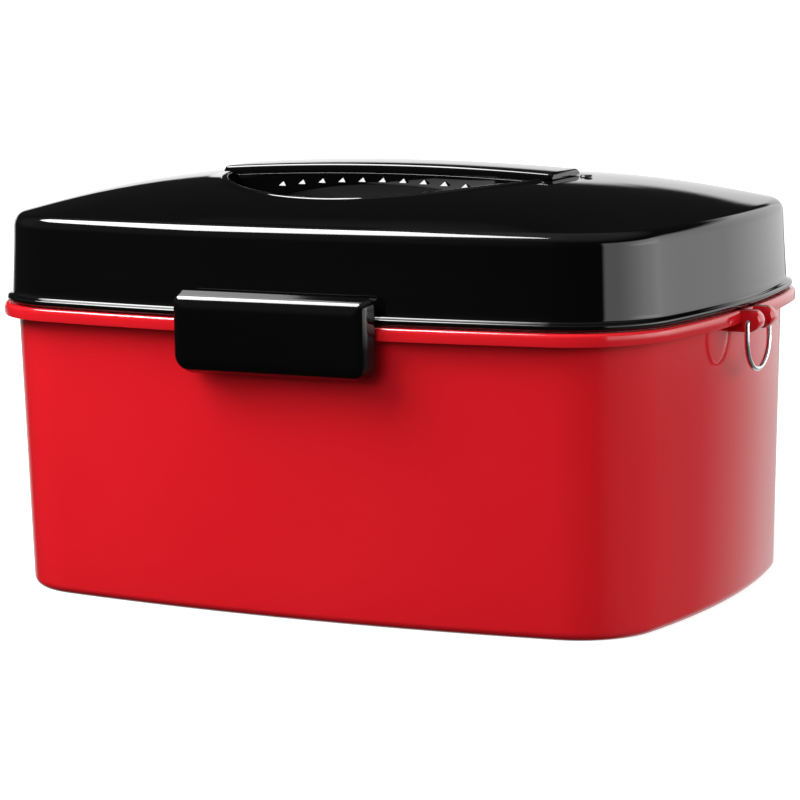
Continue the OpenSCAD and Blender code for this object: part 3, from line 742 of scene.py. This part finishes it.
def soft_light(name, azimuth, elevation, distance, width, height, power, reflected):
    """A rectangular softbox aimed at the box; it either lights the colours or shows in the gloss."""
    lamp = bpy.data.lights.new(name, "AREA")
    lamp.shape = "RECTANGLE"
    lamp.size, lamp.size_y, lamp.energy = width, height, power
    light = bpy.data.objects.new(name, lamp)
    bpy.context.scene.collection.objects.link(light)
    way = direction(math.radians(azimuth), math.radians(elevation))
    light.location = LIGHT_AIM + way * distance
    light.rotation_euler = way.to_track_quat("Z", "Y").to_euler()
    light.visible_glossy = reflected
    light.visible_diffuse = not reflected


def make_floor():
    """White paper that glows a little more away from the box, so that it runs out into the white."""
    mesh = bpy.data.meshes.new("floor")
    corners = [(x * FLOOR_HALF, y * FLOOR_HALF, 0) for x, y in ((-1, -1), (1, -1), (1, 1), (-1, 1))]
    mesh.from_pydata(corners, [], [(0, 1, 2, 3)])
    floor = bpy.data.objects.new("floor", mesh)
    bpy.context.scene.collection.objects.link(floor)
    floor.visible_glossy = False
    floor.visible_diffuse = False
    material, tree, shader, place = node_material("floor_paper")
    shader.inputs["Base Color"].default_value = (0.85, 0.85, 0.85, 1)
    shader.inputs["Specular IOR Level"].default_value = 0
    shader.inputs["Emission Color"].default_value = (1, 1, 1, 1)
    far = tree.nodes.new("ShaderNodeVectorMath")
    far.operation = "LENGTH"
    tree.links.new(place, far.inputs[0])
    tree.links.new(ramp(tree, far.outputs["Value"], 0.3, 1.2, 0.78, 1), shader.inputs["Emission Strength"])
    tree.links.new(ramp(tree, noise(tree, place, 40), 0.3, 0.7, 0.85, 1), shader.inputs["Roughness"])
    mesh.materials.append(material)


def window(tree, value, start, end, soft, soft_end=None):
    """1 between start and end, fading to 0 over soft at the start and soft_end, or soft, at the end."""
    soft_end = soft_end or soft
    rise = ramp(tree, value, start - soft / 2, start + soft / 2, 0, 1)
    fall = ramp(tree, value, end - soft_end / 2, end + soft_end / 2, 1, 0)
    return combine(tree, "MULTIPLY", rise, fall)


def ray_angles(tree):
    """Azimuth, 0 in front and 90 on the right, and elevation of a ray into the world, in degrees."""
    split = tree.nodes.new("ShaderNodeSeparateXYZ")
    tree.links.new(tree.nodes.new("ShaderNodeTexCoord").outputs["Generated"], split.inputs[0])
    x, y, z = split.outputs
    turn = combine(tree, "ARCTAN2", x, combine(tree, "MULTIPLY", y, -1))
    azimuth = combine(tree, "FLOORED_MODULO", combine(tree, "MULTIPLY", turn, math.degrees(1)), 360)
    return azimuth, combine(tree, "MULTIPLY", combine(tree, "ARCSINE", z), math.degrees(1))


def room_brightness(tree):
    """How bright the studio is in each direction, as the gloss reflects it."""
    azimuth, elevation = ray_angles(tree)
    patches = [                                 # brightness; azimuths and elevations with their softness
        (1.8, (52, 134, 4, 14), (-7, 27, 5)),       # right-hand panel
        (1.3, (86, 138, 34, 30), (-7, 27, 5)),      # its brighter middle
        (1.2, (88, 124, 16, 16), (1, 12, 4)),       # the lamp behind it
        (1.33, (134, 184, 14, 4), (-7, 24, 5)),     # back panel
        (0.16, (60, 240, 30, 20), (-60, -7, 5)),    # floor on the right
        (0.6, (160, 235, 24, 20), (-60, -7, 5)),    # floor behind
        (0.1, (255, 345, 30, 30), (4, 80, 16)),     # dim room in front
    ]
    total = 0.018                               # the dark rest of the room
    for level, across, up in patches:
        patch = combine(tree, "MULTIPLY", window(tree, azimuth, *across), window(tree, elevation, *up))
        total = combine(tree, "ADD", combine(tree, "MULTIPLY", patch, level), total)
    # the pale backdrop behind: its upper edge comes down towards the left
    over = combine(tree, "SUBTRACT", elevation, ramp(tree, azimuth, 195, 211, 13.2, 5.2))
    upper = window(tree, over, -30, 0, 1.4)
    backdrop = combine(tree, "MULTIPLY", window(tree, azimuth, 184, 232, 6), upper)
    backdrop = combine(tree, "MULTIPLY", backdrop, ramp(tree, elevation, -6, -4, 0, 1))
    total = combine(tree, "ADD", combine(tree, "MULTIPLY", backdrop, 1.12), total)
    overhead = ramp(tree, elevation, 38, 62, 0, 0.25)
    return combine(tree, "ADD", total, overhead)


def make_world():
    """A dark studio with pale panels to the right and behind; the camera itself sees plain white."""
    world = bpy.data.worlds.new("studio")
    bpy.context.scene.world = world
    world.use_nodes = True
    tree = world.node_tree
    white = tree.nodes["Background"]
    white.inputs["Strength"].default_value = 1
    room = tree.nodes.new("ShaderNodeBackground")
    tree.links.new(room_brightness(tree), room.inputs["Strength"])
    for node in (room, white):
        node.inputs["Color"].default_value = (1, 1, 1, 1)
    choose = tree.nodes.new("ShaderNodeMixShader")
    tree.links.new(tree.nodes.new("ShaderNodeLightPath").outputs["Is Camera Ray"], choose.inputs[0])
    tree.links.new(room.outputs[0], choose.inputs[1])
    tree.links.new(white.outputs[0], choose.inputs[2])
    tree.links.new(choose.outputs[0], tree.nodes["World Output"].inputs["Surface"])


def make_studio():
    make_floor()
    make_world()
    soft_light("key", -50, 45, 1.5, 1.2, 1.0, 34, reflected=False)
    soft_light("front_fill", 0, 22, 1.5, 1.0, 0.8, 8, reflected=False)
    soft_light("overhead_left", -66, 57, 1.5, 0.9, 0.85, 52, reflected=True)
    bpy.context.scene.view_settings.view_transform = "Standard"


make_camera()
make_tub()
make_tub_liner()
make_lid()
make_lid_liner()
make_gasket()
make_bar_cap()
make_bar_core()
make_latch_cover()
make_ring("ring_left", -1)
make_ring("ring_right", 1)
dress(make_materials())
make_studio()
